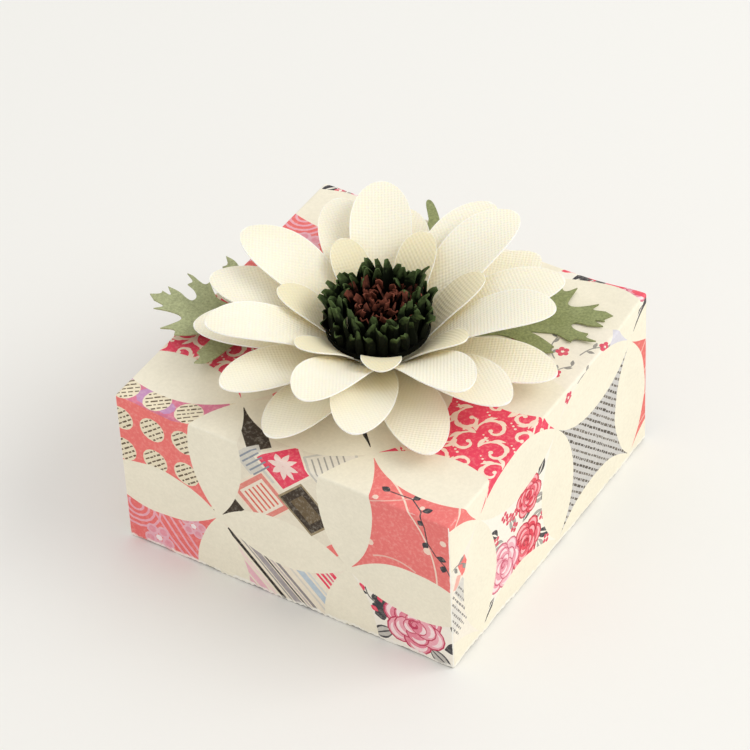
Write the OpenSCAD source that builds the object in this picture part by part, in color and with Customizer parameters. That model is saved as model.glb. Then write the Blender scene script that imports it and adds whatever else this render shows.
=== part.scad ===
// Square gift box folded from paper, a lid over a tray, with a card daisy on the lid.
// Origin: middle of the tray's underside, on the table. +Z is up, +X is the bright side.

/* [Folded sheets] */
// Side of the square sheet that the lid is folded from
lid_sheet = 203.2; // [150:0.2:310]
// Thickness of the paper of lid and tray
paper_t = 0.22; // [0.12:0.01:0.4]
// Outer radius of a pressed crease
crease_r = 0.5; // [0.2:0.05:1.2]
// What the creases take off the height of the lid
crease_loss = 0.72; // [0:0.02:2]
// Width of the line where two flaps meet
flap_gap = 0.2; // [0.1:0.05:0.6]

/* [Fit of lid and tray] */
// Gap between tray and lid on each side
lid_clearance = 0.35; // [0.2:0.05:1]
// Gap between the rim of the tray and the flaps under the top of the lid
seat_gap = 0.2; // [0.05:0.05:0.6]
// Height of the rim of the lid above the table
rim_lift = 0.3; // [0.1:0.05:1]

/* [Petals] */
// Thickness of the card of petals and leaves
card_t = 0.3; // [0.2:0.02:0.5]
// Radius of the flat middle of each ring of petals
hub_r = 7.2; // [6:0.1:9]
// Width of a large petal
petal_w = 12.4; // [9:0.1:15]
// Width of a large petal where it leaves the middle
petal_root_w = 5.4; // [3:0.1:6]
// Width of a small inner petal
inner_petal_w = 7.3; // [5:0.1:9]
// Width of a small inner petal where it leaves the middle
inner_root_w = 4.6; // [3:0.1:6]
// Radius to the tips of the bottom petals
bottom_tip_r = 35.1; // [28:0.1:42]
// Height of the tips of the bottom petals above the lid
bottom_rise = 4.8; // [4:0.1:7]
// Radius to the tips of the middle petals
middle_tip_r = 34.5; // [28:0.1:42]
// Height of the tips of the middle petals above the lid
middle_rise = 8.9; // [7:0.1:11]
// Radius to the tips of the top petals
top_tip_r = 32.9; // [26:0.1:40]
// Height of the tips of the top petals above the lid
top_rise = 13.6; // [12:0.1:17]
// Radius to the tips of the inner petals
inner_tip_r = 19.5; // [17:0.1:23]
// Height of the tips of the inner petals above the lid
inner_rise = 10.7; // [9:0.1:13]

/* [Fringed middle] */
// Thickness of the fringed strips
strip_t = 0.25; // [0.15:0.01:0.4]
// Height of the band that is left uncut under the fringe
band_h = 2.6; // [1.5:0.1:4]
// Flat margin of the inner petals left round the green roll
roll_margin = 0.2; // [0.1:0.05:0.6]
// Gap between one turn of a roll and the next
wound_gap = 0.65; // [0.4:0.05:1]
// Gap between the green roll and the brown one
roll_gap = 0.4; // [0.2:0.05:0.8]
// Length of the green fringe
green_len = 8.8; // [6:0.1:11]
// Length of the brown fringe
brown_len = 7.4; // [4:0.1:9]

/* [Leaves] */
// Width of the stem of a leaf
stem_w = 1.8; // [1.2:0.1:3]
// Radius to the tip of the left leaf
left_leaf_r = 46; // [36:0.5:50]
// Radius to the tip of the right leaf
right_leaf_r = 43.5; // [36:0.5:50]
// Radius to the tip of the back leaf
back_leaf_r = 42.5; // [36:0.5:50]

/* [Hidden] */
$fn = 64;

// A square sheet folded this way gives a box as wide as its side over twice the root of two, half as high
lid_w = lid_sheet / (2 * sqrt(2));
lid_h = lid_w / 2 - crease_loss;
lid_top = rim_lift + lid_h;

// Two walls are two layers thick; the corners tuck into the other two, which are four layers thick
plain_wall = 2 * paper_t;
tucked_wall = 4 * paper_t;
floor_t = 2 * paper_t;
tray_w = lid_w - 2 * (tucked_wall + lid_clearance);
tray_h = lid_top - floor_t - seat_gap;

// The leaves lie on the lid, and the rings of petals are glued one on another over their stems
bottom_z = lid_top + card_t;
middle_z = bottom_z + card_t;
top_z = middle_z + card_t;
inner_z = top_z + card_t;
roll_z = inner_z + card_t;

petal_count = 7;
// Places along a petal, as shares of its length, closer where the tip rounds off
petal_row_shares = [0, 0.12, 0.28, 0.46, 0.64, 0.78, 0.88, 0.95, 0.985, 0.999];
// Places across a petal, from one edge to the other, as shares of its half width
petal_column_shares = [-1, -0.55, 0, 0.55, 1];
// Where along its length a petal is widest
widest_share = 0.62;
// How far the edges of a petal turn up, as a share of its half width
cup_share = 0.2;
// How quickly a petal arches over: it rises most at its root, and 1 would be straight
large_arch_power = 1.7;
inner_arch_power = 2.1;

// First petal's direction in each ring, degrees from +X
bottom_turn = 111;
middle_turn = 139;
top_turn = 122;
inner_turn = 147;
// How far each petal leans off its even place, degrees
bottom_leans = [3.5, 0.5, -3.5, 0.5, -0.5, -1.5, 4.5];
middle_leans = [-2, 0.5, 2, 0.5, -1.5, 6, -3];
top_leans = [0.5, 0, 0, 1, 1.5, -1.5, 0.5];
inner_leans = [-1.5, 0, 1.5, 0, 0, 2, 0];
// How high each petal was bent, as a share of its ring's rise
bottom_rise_shares = [0.98, 1, 1.16, 0.84, 0.78, 1.04, 1.1];
middle_rise_shares = [0.99, 0.89, 0.83, 1.03, 0.93, 1.11, 1.28];
top_rise_shares = [0.96, 0.92, 0.94, 1.01, 1.06, 1.07, 1.04];
inner_rise_shares = [0.98, 0.96, 0.92, 0.98, 0.99, 1.07, 1.1];

// Each fringed strip: turns in the roll and blades cut in it
green_turns = 2.3;
green_blades = 38;
brown_turns = 3.4;
brown_blades = 32;
roll_pitch = strip_t + wound_gap;
green_r = hub_r - roll_margin;
brown_r = green_r - green_turns * roll_pitch - strip_t - roll_gap;
// Width of a blade at its root, as a share of the cut pitch
blade_share = 0.86;
// Places along a blade, and its width there, as shares
blade_row_shares = [0.3, 0.58, 0.82, 1];
blade_width_shares = [1.08, 1, 0.7, 0.16];
// Lean of a blade from upright at its root and at its tip, on the outermost and the innermost turn, degrees
green_outer_lean = [62, 2];
green_inner_lean = [34, 10];
brown_outer_lean = [30, 12];
brown_inner_lean = [4, -24];
// How unevenly the blades were bent, degrees, and how uneven their length is
blade_lean_spread = 7;
blade_length_share = 0.07;
// Steps from blade to blade that keep the unevenness from repeating, degrees
lean_step = 137.5;
length_step = 97;
// Corners of the band at each cut edge: outer foot, outer top, inner foot and inner top
cut_corners = 4;

// Outline of one half of a leaf from stem to tip: along and out, as shares of the radius to its tip
leaf_half_shares = [
    [0.47, 0.02], [0.54, 0.05], [0.6, 0.13], [0.66, 0.235], [0.715, 0.325],
    [0.745, 0.3], [0.725, 0.245], [0.775, 0.225], [0.765, 0.195], [0.71, 0.15], [0.72, 0.075],
    [0.77, 0.085], [0.83, 0.15], [0.885, 0.18], [0.895, 0.16], [0.87, 0.13], [0.915, 0.115],
    [0.86, 0.075], [0.85, 0.04], [0.9, 0.045], [0.955, 0.08], [0.965, 0.065], [0.94, 0.03]
];
// How much of each side the soft corners of a leaf take
corner_share = 0.25;
// How far the two sides of each leaf spread, as shares of the outline
left_leaf_shares = [1, 1];
right_leaf_shares = [0.62, 1.15];
back_leaf_shares = [0.3, 0.3];
// Directions of the leaves and their tilt up from the lid, degrees
left_leaf_turn = 194;
right_leaf_turn = 40;
back_leaf_turn = 108;
left_leaf_tilt = 3.4;
right_leaf_tilt = 0.4;
back_leaf_tilt = 3;
// Where the stem ends under the flower and where the blade starts to rise, as shares of the middle's radius
stem_start_share = 0.45;
stem_bend_share = 1.2;

// The two triangles of a four-cornered face
function quad(a, b, c, d) = [[a, b, c], [a, c, d]];

// Every list in a list joined to one
function joined(lists) = [for (list = lists) for (item = list) item];

// Wall section with a round fold at its rim, for a wall of the given thickness
module wall_section(thickness, h) {
    square([thickness, h - thickness / 2]);
    translate([thickness / 2, h - thickness / 2]) circle(d = thickness);
}

// Side view of the box, its two lower creases rounded
module side_outline(w, h) {
    translate([-w / 2, crease_r]) square([w, h - crease_r]);
    translate([-w / 2 + crease_r, 0]) square([w - 2 * crease_r, h]);
    for (side = [-1, 1])
        translate([side * (w / 2 - crease_r), crease_r]) circle(r = crease_r);
}

// Plan of the box, its upright creases rounded
module plan_outline(w) {
    square([w - 2 * crease_r, w], center = true);
    square([w, w - 2 * crease_r], center = true);
    for (x = [-1, 1], y = [-1, 1])
        translate([x, y] * (w / 2 - crease_r)) circle(r = crease_r);
}

// One square sheet folded to an open box: floor, four walls doubled over the rim, and four flaps on the floor
module folded_box(w, h) {
    flap_line = sqrt(2) * (w - 2 * tucked_wall);
    difference() {
        intersection() {
            union() {
                translate([-w / 2, -w / 2, 0]) cube([w, w, floor_t]);
                for (turn = [0, 180]) {
                    rotate([0, 0, turn]) translate([-w / 2, w / 2, 0]) rotate([90, 0, 0])
                        linear_extrude(w) wall_section(tucked_wall, h);
                    rotate([0, 0, turn + 90]) translate([-w / 2, w / 2, 0]) rotate([90, 0, 0])
                        linear_extrude(w) wall_section(plain_wall, h);
                }
            }
            linear_extrude(h) plan_outline(w);
            translate([0, w / 2, 0]) rotate([90, 0, 0]) linear_extrude(w) side_outline(w, h);
            rotate([0, 0, 90]) translate([0, w / 2, 0]) rotate([90, 0, 0]) linear_extrude(w) side_outline(w, h);
        }
        for (turn = [45, 135])
            rotate([0, 0, turn]) translate([-flap_line / 2, -flap_gap / 2, paper_t])
                cube([flap_line, flap_gap, floor_t]);
    }
}

// Half width of a petal at a share of its length: it swells from its root and rounds off at its tip
function petal_half_width(along, w, root_w) =
    along < widest_share
    ? root_w / 2 + (w - root_w) / 2 * sin(90 * along / widest_share)
    : w / 2 * sqrt(1 - pow((along - widest_share) / (1 - widest_share), 2));

// Share of its rise that a petal has reached at a share of its length, and the share it still gains per length
function arched(along, arch) = 1 - pow(1 - along, arch);
function arch_slope(along, arch) = arch * pow(1 - along, arch - 1);

// Points of one petal's upper face: rows from the round middle to the tip, bent up and cupped across
function petal_points(turn, tip_r, rise, base_z, w, root_w, arch) = [
    for (along = petal_row_shares)
        let (half = petal_half_width(along, w, root_w))
        for (across = petal_column_shares)
            let (
                side = half * across,
                root_side = root_w / 2 * across,
                root_x = sqrt(hub_r * hub_r - root_side * root_side),
                x = root_x + (tip_r - root_x) * along,
                z = base_z + rise * arched(along, arch) + cup_share * half * across * across * along
            )
            [x * cos(turn) - side * sin(turn), x * sin(turn) + side * cos(turn), z]
];

// One ring of petals cut from a single piece of card: a flat middle and seven bent petals
module petal_ring(turn, leans, tip_r, tip_height, rise_shares, base_z, w, root_w, arch) {
    rows = len(petal_row_shares);
    columns = len(petal_column_shares);
    petal_size = rows * columns;
    ring_size = petal_count * petal_size;
    face_z = base_z + card_t;
    rises = [for (k = [0:petal_count - 1]) lid_top + tip_height * rise_shares[k] - face_z];
    upper = joined([
        for (k = [0:petal_count - 1])
            petal_points(turn + leans[k] + k * 360 / petal_count, tip_r, rises[k], face_z, w, root_w, arch)
    ]);
    // The underside lies a card's thickness below, measured square to the slope of the petal
    lower = [
        for (k = [0:petal_count - 1], row = [0:rows - 1])
            let (
                slope = row == 0 ? 0 : atan2(rises[k] * arch_slope(petal_row_shares[row], arch), tip_r - hub_r)
            )
            for (column = [0:columns - 1])
                upper[k * petal_size + row * columns + column] - [0, 0, card_t / cos(slope)]
    ];
    points = concat(upper, lower, [[0, 0, face_z], [0, 0, base_z]]);
    centre = 2 * ring_size;
    petal_faces = joined([
        for (k = [0:petal_count - 1], i = [0:rows - 2], j = [0:columns - 2])
            let (a = k * petal_size + i * columns + j, b = a + 1, c = b + columns, d = a + columns)
            concat(quad(a, b, c, d), quad(d + ring_size, c + ring_size, b + ring_size, a + ring_size))
    ]);
    edge_faces = joined([
        for (k = [0:petal_count - 1], i = [0:rows - 2])
            let (a = k * petal_size + i * columns, d = a + columns, b = a + columns - 1, c = b + columns)
            concat(quad(a, d, d + ring_size, a + ring_size), quad(c, b, b + ring_size, c + ring_size))
    ]);
    tip_faces = joined([
        for (k = [0:petal_count - 1], j = [0:columns - 2])
            let (a = k * petal_size + (rows - 1) * columns + j, b = a + 1)
            quad(a, b, b + ring_size, a + ring_size)
    ]);
    hub_edge = [for (k = [0:petal_count - 1], j = [0:columns - 1]) k * petal_size + j];
    hub_faces = [
        for (q = [0:len(hub_edge) - 1])
            let (a = hub_edge[q], b = hub_edge[(q + 1) % len(hub_edge)])
            each [[centre, b, a], [centre + 1, a + ring_size, b + ring_size]]
    ];
    gap_faces = joined([
        for (k = [0:petal_count - 1])
            let (a = k * petal_size + columns - 1, b = ((k + 1) % petal_count) * petal_size)
            quad(a, b, b + ring_size, a + ring_size)
    ]);
    polyhedron(points, concat(petal_faces, edge_faces, tip_faces, hub_faces, gap_faces));
}

// Angle, in degrees, at a length along a strip wound inwards from radius r, a roll pitch at each turn
function wound_angle(length, r) = (r - sqrt(r * r - roll_pitch * length / PI)) * 360 / roll_pitch;

// Radius of the strip's outer face at that angle
function wound_radius(angle, r) = r - roll_pitch * angle / 360;

// A point at a radius, angle and height
function polar(r, angle, z) = [r * cos(angle), r * sin(angle), z];

// How far a blade has come outwards and up at a share of its length, bending evenly from one lean to the other
function blade_out(along, blade_l, lean) =
    blade_l * (cos(lean[0]) - cos(lean[0] + (lean[1] - lean[0]) * along)) / ((lean[1] - lean[0]) * PI / 180);
function blade_up(along, blade_l, lean) =
    blade_l * (sin(lean[0] + (lean[1] - lean[0]) * along) - sin(lean[0])) / ((lean[1] - lean[0]) * PI / 180);

// The four corners of a blade at one row: left and right on its outer face, then on its inner face
function blade_corners(along, width, r, angle, blade_l, lean) =
    let (
        tilt = lean[0] + (lean[1] - lean[0]) * along,
        out = [cos(angle), sin(angle), 0],
        aside = [-sin(angle), cos(angle), 0],
        face_z = roll_z + band_h + blade_up(along, blade_l, lean),
        face = polar(r + blade_out(along, blade_l, lean), angle, face_z),
        inward = strip_t * (out * cos(tilt) - [0, 0, sin(tilt)])
    )
    [face - aside * width / 2, face + aside * width / 2,
     face - aside * width / 2 - inward, face + aside * width / 2 - inward];

// A fringed strip rolled up on edge: an uncut band below, blades splayed out above it
module fringed_roll(r, turns, cuts, blade_l, outer_lean, inner_lean) {
    blades = round(cuts);
    strip_l = turns * (2 * PI * r - PI * turns * roll_pitch);
    pitch = strip_l / blades;
    rows = len(blade_row_shares);
    edges = [for (k = [0:blades - 1], part = [0, blade_share]) wound_angle((k + part) * pitch, r)];
    band = [
        for (angle = edges)
            let (out_r = wound_radius(angle, r))
            each [polar(out_r, angle, roll_z), polar(out_r, angle, roll_z + band_h),
                  polar(out_r - strip_t, angle, roll_z), polar(out_r - strip_t, angle, roll_z + band_h)]
    ];
    blade_points = [
        for (k = [0:blades - 1])
            let (
                angle = (edges[2 * k] + edges[2 * k + 1]) / 2,
                wound = k / (blades - 1),
                bend = blade_lean_spread * sin(lean_step * k),
                lean = outer_lean + (inner_lean - outer_lean) * wound + [bend, -bend],
                uneven_l = blade_l * (1 + blade_length_share * sin(length_step * k))
            )
            for (row = [0:rows - 1])
                each blade_corners(blade_row_shares[row], pitch * blade_share * blade_width_shares[row],
                                   wound_radius(angle, r), angle, uneven_l, lean)
    ];
    first = len(band);
    band_faces = joined([
        for (i = [0:2 * blades - 2])
            let (a = cut_corners * i, b = a + cut_corners)
            concat(quad(a, a + 1, b + 1, b), quad(b + 2, b + 3, a + 3, a + 2), quad(a + 2, a, b, b + 2))
    ]);
    slit_faces = joined([
        for (k = [0:blades - 2])
            let (a = cut_corners * (2 * k + 1), b = a + cut_corners)
            quad(a + 1, a + 3, b + 3, b + 1)
    ]);
    last = cut_corners * (2 * blades - 1);
    end_faces = concat(quad(0, 2, 3, 1), quad(last, last + 1, last + 3, last + 2));
    blade_faces = joined([
        for (k = [0:blades - 1], row = [0:rows - 1])
            let (
                up = first + cut_corners * (k * rows + row),
                left = 2 * k * cut_corners,
                right = left + cut_corners,
                down = up - cut_corners,
                // Outer left, outer right, inner left, inner right of the row below
                below = row == 0
                    ? [left + 1, right + 1, left + 3, right + 3]
                    : [down, down + 1, down + 2, down + 3]
            )
            concat(quad(below[0], up, up + 1, below[1]), quad(below[3], up + 3, up + 2, below[2]),
                   quad(below[2], up + 2, up, below[0]), quad(below[1], up + 1, up + 3, below[3]))
    ]);
    tip_faces = joined([
        for (k = [0:blades - 1])
            let (up = first + cut_corners * (k * rows + rows - 1))
            quad(up, up + 2, up + 3, up + 1)
    ]);
    polyhedron(concat(band, blade_points), concat(band_faces, slit_faces, end_faces, blade_faces, tip_faces));
}

// Corners cut back by a share of each side, which turns an outline of corners to one of soft lobes
function softened(points) = [
    for (i = [0:len(points) - 1])
        let (a = points[i], b = points[(i + 1) % len(points)])
        each [a + (b - a) * corner_share, b + (a - b) * corner_share]
];

// A die-cut leaf: its stem lies under the flower, and its lobed blade rises a little from the lid
module leaf(turn, tip_r, tilt, side_shares) {
    bend_r = hub_r * stem_bend_share;
    stem_start = hub_r * stem_start_share;
    last = len(leaf_half_shares) - 1;
    right = [for (p = leaf_half_shares) tip_r * [p[0], -p[1] * side_shares[0]]];
    left = [for (i = [last:-1:0]) let (p = leaf_half_shares[i]) tip_r * [p[0], p[1] * side_shares[1]]];
    blade = concat([[bend_r, -stem_w / 2]], right, [[tip_r, 0]], left, [[bend_r, stem_w / 2]]);
    rotate([0, 0, turn]) translate([0, 0, lid_top]) {
        translate([stem_start, -stem_w / 2, 0]) cube([bend_r - stem_start + card_t, stem_w, card_t]);
        translate([bend_r, 0, 0]) rotate([0, -tilt, 0]) translate([-bend_r, 0, 0])
            linear_extrude(card_t) polygon(softened(blade));
    }
}

module tray() {
    color("#efe6cf") folded_box(tray_w, tray_h);
}

module lid() {
    color("#e9dcc0") translate([0, 0, lid_top]) rotate([180, 0, 0]) folded_box(lid_w, lid_h);
}

module leaf_left() {
    color("#7f8c55") leaf(left_leaf_turn, left_leaf_r, left_leaf_tilt, left_leaf_shares);
}

module leaf_right() {
    color("#7f8c55") leaf(right_leaf_turn, right_leaf_r, right_leaf_tilt, right_leaf_shares);
}

module leaf_back() {
    color("#7f8c55") leaf(back_leaf_turn, back_leaf_r, back_leaf_tilt, back_leaf_shares);
}

module petals_bottom() {
    color("#f7edd0")
        petal_ring(bottom_turn, bottom_leans, bottom_tip_r, bottom_rise, bottom_rise_shares,
                   bottom_z, petal_w, petal_root_w, large_arch_power);
}

module petals_middle() {
    color("#faf1d6")
        petal_ring(middle_turn, middle_leans, middle_tip_r, middle_rise, middle_rise_shares,
                   middle_z, petal_w, petal_root_w, large_arch_power);
}

module petals_top() {
    color("#fdf6da")
        petal_ring(top_turn, top_leans, top_tip_r, top_rise, top_rise_shares,
                   top_z, petal_w, petal_root_w, large_arch_power);
}

module petals_inner() {
    color("#f3e9c6")
        petal_ring(inner_turn, inner_leans, inner_tip_r, inner_rise, inner_rise_shares,
                   inner_z, inner_petal_w, inner_root_w, inner_arch_power);
}

module fringe_green() {
    color("#2f4f22")
        fringed_roll(green_r, green_turns, green_blades, green_len, green_outer_lean, green_inner_lean);
}

module fringe_brown() {
    color("#6b3326")
        fringed_roll(brown_r, brown_turns, brown_blades, brown_len, brown_outer_lean, brown_inner_lean);
}

tray();
lid();
leaf_left();
leaf_right();
leaf_back();
petals_bottom();
petals_middle();
petals_top();
petals_inner();
fringe_green();
fringe_brown();
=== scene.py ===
import math

import bpy
import numpy as np
from mathutils import Matrix, Vector
from mathutils.geometry import delaunay_2d_cdt


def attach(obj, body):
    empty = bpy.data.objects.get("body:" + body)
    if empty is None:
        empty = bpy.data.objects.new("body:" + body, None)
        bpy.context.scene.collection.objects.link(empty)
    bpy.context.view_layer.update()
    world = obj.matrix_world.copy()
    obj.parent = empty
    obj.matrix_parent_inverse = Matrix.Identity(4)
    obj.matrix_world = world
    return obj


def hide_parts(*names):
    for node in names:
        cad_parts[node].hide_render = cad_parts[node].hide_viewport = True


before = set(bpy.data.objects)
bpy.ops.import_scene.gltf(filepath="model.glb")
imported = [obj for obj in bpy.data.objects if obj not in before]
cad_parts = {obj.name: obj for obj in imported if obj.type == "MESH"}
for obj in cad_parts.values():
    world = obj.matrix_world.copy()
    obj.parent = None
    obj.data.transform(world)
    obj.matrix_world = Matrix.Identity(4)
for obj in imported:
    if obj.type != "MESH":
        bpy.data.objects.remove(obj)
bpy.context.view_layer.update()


# Tray: the lower half of the box, one sheet of plain ivory paper folded to an open square box.
# Its walls are doubled over the rim and its four flaps meet on the floor. Folds alone hold it,
# and it hides inside the lid until the lid is lifted.

def linear(code):
    """sRGB hex to linear light: c / 12.92 for dark values, ((c + 0.055) / 1.055) ^ 2.4 above them."""
    c = np.array([int(code[i:i + 2], 16) for i in (1, 3, 5)]) / 255
    return (*np.where(c <= 0.04045, c / 12.92, ((c + 0.055) / 1.055) ** 2.4), 1.0)


def add_node(tree, kind, inputs=None, **settings):
    """Adds one shader node, sets its properties, and sets or links its inputs by name or number. A node
    given as an input is linked from its first output in use."""
    made = tree.nodes.new("ShaderNode" + kind)
    for key, value in settings.items():
        setattr(made, key, value)
    for key, value in (inputs or {}).items():
        if isinstance(value, bpy.types.Node):
            value = next(output for output in value.outputs if output.enabled)
        if isinstance(value, bpy.types.NodeSocket):
            tree.links.new(value, made.inputs[key])
        else:
            made.inputs[key].default_value = value
    return made


def blank_material(name):
    """A new material and its empty node tree."""
    made = bpy.data.materials.new(name)
    made.use_nodes = True
    made.node_tree.nodes.clear()
    return made, made.node_tree


# Uncoated ivory paper: matt, faintly cloudy, with short fibres that catch the light
ivory_paper, tree = blank_material("ivory_paper")
place = add_node(tree, "TexCoord").outputs["Object"]
cloud = add_node(tree, "TexNoise", {"Vector": place, "Scale": 1 / 0.009, "Detail": 3.0})
fibre = add_node(tree, "TexNoise", {"Vector": place, "Scale": 1 / 0.0006, "Detail": 3.0})
cloudy = add_node(tree, "Mix", {0: cloud, 6: linear("#efe5cb"), 7: linear("#e3d7b9")}, data_type="RGBA")
grain = add_node(tree, "Bump", {"Height": fibre, "Strength": 0.25, "Distance": 0.0001})
shader = add_node(tree, "BsdfPrincipled", {
    "Base Color": cloudy, "Roughness": 0.86, "Specular IOR Level": 0.25, "Normal": grain})
add_node(tree, "OutputMaterial", {"Surface": shader})
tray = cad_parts["tray"]
tray.data.materials.clear()
tray.data.materials.append(ivory_paper)


# Lid: one square of printed scrapbook paper, folded so that its printed side shows outside and,
# turned over the rim, inside as well. Corners tuck into the two side walls, which come out twice
# as thick. The print is a lattice of cream petals with a different small pattern in each field.

lid_w = 71.84
lid_top = 35.5
rim_z = 0.3
paper = 0.22
front_wall = 2 * paper
side_wall = 4 * paper
ceiling_z = lid_top - 2 * paper
crease_r = 0.5
half_w = lid_w / 2

cream = "#f3ecd7"
coral = "#f17a75"
crimson = "#ec4763"
pink = "#ecb3c0"
lilac = "#c793bd"
umber = "#40352a"
ash = "#aaa59e"
slate = "#434145"
pale = "#f7f1e4"
red_rose = ("#b8283e", "#e4495a", "#ea6876", "#f7b3b6")
pink_rose = ("#cf5f78", "#ec9fae", "#f1b6c0", "#fae0e2")
large_rose = ("#c43a5c", "#e8899c", "#f0a9b6", "#fae0e0")


def disc(x, y, r, count=16):
    """A round outline: centre plus r times (cos, sin) of even angles."""
    a = np.linspace(0, 2 * np.pi, count, endpoint=False)
    return np.stack([x + r * np.cos(a), y + r * np.sin(a)], 1)


def turned(path, turn, x=0, y=0):
    """A path turned by an angle in degrees, then moved."""
    c, s = np.cos(np.radians(turn)), np.sin(np.radians(turn))
    return np.asarray(path) @ np.array([[c, s], [-s, c]]) + [x, y]


def bar(x, y, length, width, turn):
    """A rectangle round its middle, turned by an angle in degrees."""
    return turned(np.array([[-1, -1], [1, -1], [1, 1], [-1, 1]]) * [length / 2, width / 2], turn, x, y)


def stroke(path, half):
    """The outline of a pen stroke: the path moved sideways by its half width, out and back."""
    along = np.gradient(path, axis=0)
    side = np.stack([-along[:, 1], along[:, 0]], 1) / np.linalg.norm(along, axis=1)[:, None]
    half = np.broadcast_to(np.asarray(half, float), len(path))[:, None]
    return np.vstack([path + side * half, (path - side * half)[::-1]])


def curl(x, y, r, start, sweep, shrink=1.0, count=14):
    """A path round a centre: the angle runs over the sweep while the radius falls to a share of itself."""
    t = np.linspace(0, 1, count)
    a = np.radians(start + sweep * t)
    radius = r * (1 + (shrink - 1) * t)
    return np.stack([x + radius * np.cos(a), y + radius * np.sin(a)], 1)


def leaflet(x, y, turn, length, width, bend=0.0):
    """A pointed leaf: half width times sin(pi t), on a midrib that bends aside by a share of its length."""
    t = np.linspace(0.02, 0.98, 8)
    path = np.stack([length * t, bend * length * t * t], 1)
    return stroke(turned(path, turn, x, y), width / 2 * np.sin(np.pi * t))


def posy(x, y, r, count, turn, ink, share=0.68):
    """A small flower: round petals set in a ring, each a share of the ring's radius."""
    return [(disc(*at, share * r, 9), ink) for at in turned(disc(0, 0, r, count), turn, x, y)]


def rose(x, y, r, turn, inks):
    """A full garden rose: three rings of overlapping round petals, each with a dark outline and a pale
    lip, round a heart of two short curls. Inks run from dark over two middle tones to pale."""
    dark, body, bright, lip = inks
    swell = np.sin(np.pi * np.linspace(0.05, 0.95, 9))
    for ring, (count, at, size) in enumerate(((6, 0.6, 0.45), (5, 0.36, 0.37), (3, 0.16, 0.25))):
        for k in range(count):
            lean = turn + 360 / count * k + 31 * ring
            middle = turned([r * at, 0], lean, x, y)
            yield disc(*middle, r * size * 1.12, 13), dark
            yield disc(*middle, r * size, 13), (body, bright)[(k + ring) % 2]
            yield stroke(curl(*middle, r * size * 0.74, lean - 65, 130, 1, 9), 0.07 * r * swell), lip
    for k in range(2):
        yield stroke(curl(x, y, r * (0.2 - 0.09 * k), turn + 150 * k, 230, 0.8, 9), 0.05 * r * swell), dark


def spray(x, y, turn, length, ink, count, width):
    """A thin bent stem with leaves set left and right of it in turn."""
    t = np.linspace(0, 1, 9)
    path = turned(np.stack([length * t, 0.16 * length * np.sin(np.pi * t)], 1), turn, x, y)
    yield stroke(path, 0.13), ink
    for k in range(count):
        at = path[2 + 6 * k // (count - 1)]
        yield leaflet(*at, turn + (42 if k % 2 else -42), 2.3 * width, width), ink


def dashes(x, y, reach, turn, shift, height, longest, ink, draw):
    """One row of uneven dashes through a point, as far as its reach either way, moved aside by a shift."""
    at = draw.uniform(0, 0.5) - reach
    while at < reach - 0.3:
        length = min(draw.uniform(0.4, longest), reach - at)
        middle = turned([at + length / 2, shift + draw.uniform(-0.05, 0.05)], turn, x, y)
        yield bar(*middle, length, height * draw.uniform(0.75, 1.15), turn), ink
        at += length + draw.uniform(0.18, 0.42)


# The patterns give outlines with their inks, from the lowest up, round the middle of a field

def ruled_dots(draw):
    """Coral with cream spots that are ruled with slanting dashes, and a rose and lilac wash at the back."""
    yield [[-14, 4.6], [-8, 5.6], [-4, 5.2], [5, 4.4], [9, 5.4], [14, 5], [14, 16], [-14, 16]], "#dc7d97"
    for x, y, r in ((-9, 9, 2.6), (-2, 8, 2.2), (3, 7, 1.6)):
        yield disc(x, y, r, 9), lilac
    spot_r = 2.75
    for i in range(-2, 3):
        for j in range(-2, 3):
            x, y = 0.3 + 7.0 * i, 7.75 * j
            yield disc(x, y, spot_r), "#efe3c6"
            for row in range(-2, 3):
                reach = math.sqrt(spot_r ** 2 - row ** 2) - 0.2
                yield from dashes(x, y, reach, 38, row, 0.34, 1.5, "#65533f", draw)


def blocks(draw):
    """A patchwork of plain slanting blocks with thin frames, one with a rosette and others ruled."""
    for *block, ink in (
            (-8.4, 10.2, 12, 4.4, -45, umber), (-4.4, 1.8, 8.4, 6.4, -45, "#d6d1c6"),
            (1.2, 4.2, 9.6, 8.8, 45, "#f2e8d4"), (1.2, 4.2, 8.4, 7.6, 45, crimson),
            (9.4, 9.2, 9.6, 6.8, 45, "#cdc8bd"), (9.4, 9.2, 8.6, 5.8, 45, "#ebe4d4"),
            (-4, -5.8, 10.4, 9.6, 45, "#f1e2cc"), (-4, -5.8, 9.2, 8.4, 45, "#e58a7e"),
            (-4, -5.8, 7.2, 6.4, 45, "#f3e5d2"), (5.7, -4.4, 9.8, 7.6, -45, "#9a8a6b"),
            (5.7, -4.4, 8.9, 6.7, -45, umber), (5.7, -4.4, 5.6, 3.8, -45, "#6b5b43"),
            (-11.6, -11.8, 6.4, 3.4, 45, umber), (10.6, -12.6, 4.4, 2.6, 45, coral)):
        yield bar(*block), ink
    for k in range(8):
        yield leaflet(1.2, 4.2, 45 * k, 3.3, 1.3), "#f6dcd2"
    for k in range(-2, 3):
        yield bar(-4 + 0.9 * k, -5.8 + 0.9 * k, 0.5, 5.2, 45), "#e0705f"
    for k in range(-3, 2):
        yield bar(-4.4 + 0.75 * k, 1.8 - 0.75 * k, 0.35, 5.2, -45), "#8f96a0"
    for k in range(-3, 3):
        yield bar(9.4 + 0.8 * k, 9.2 + 0.8 * k, 0.3, 4.6, 45), "#a8a39a"


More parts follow.
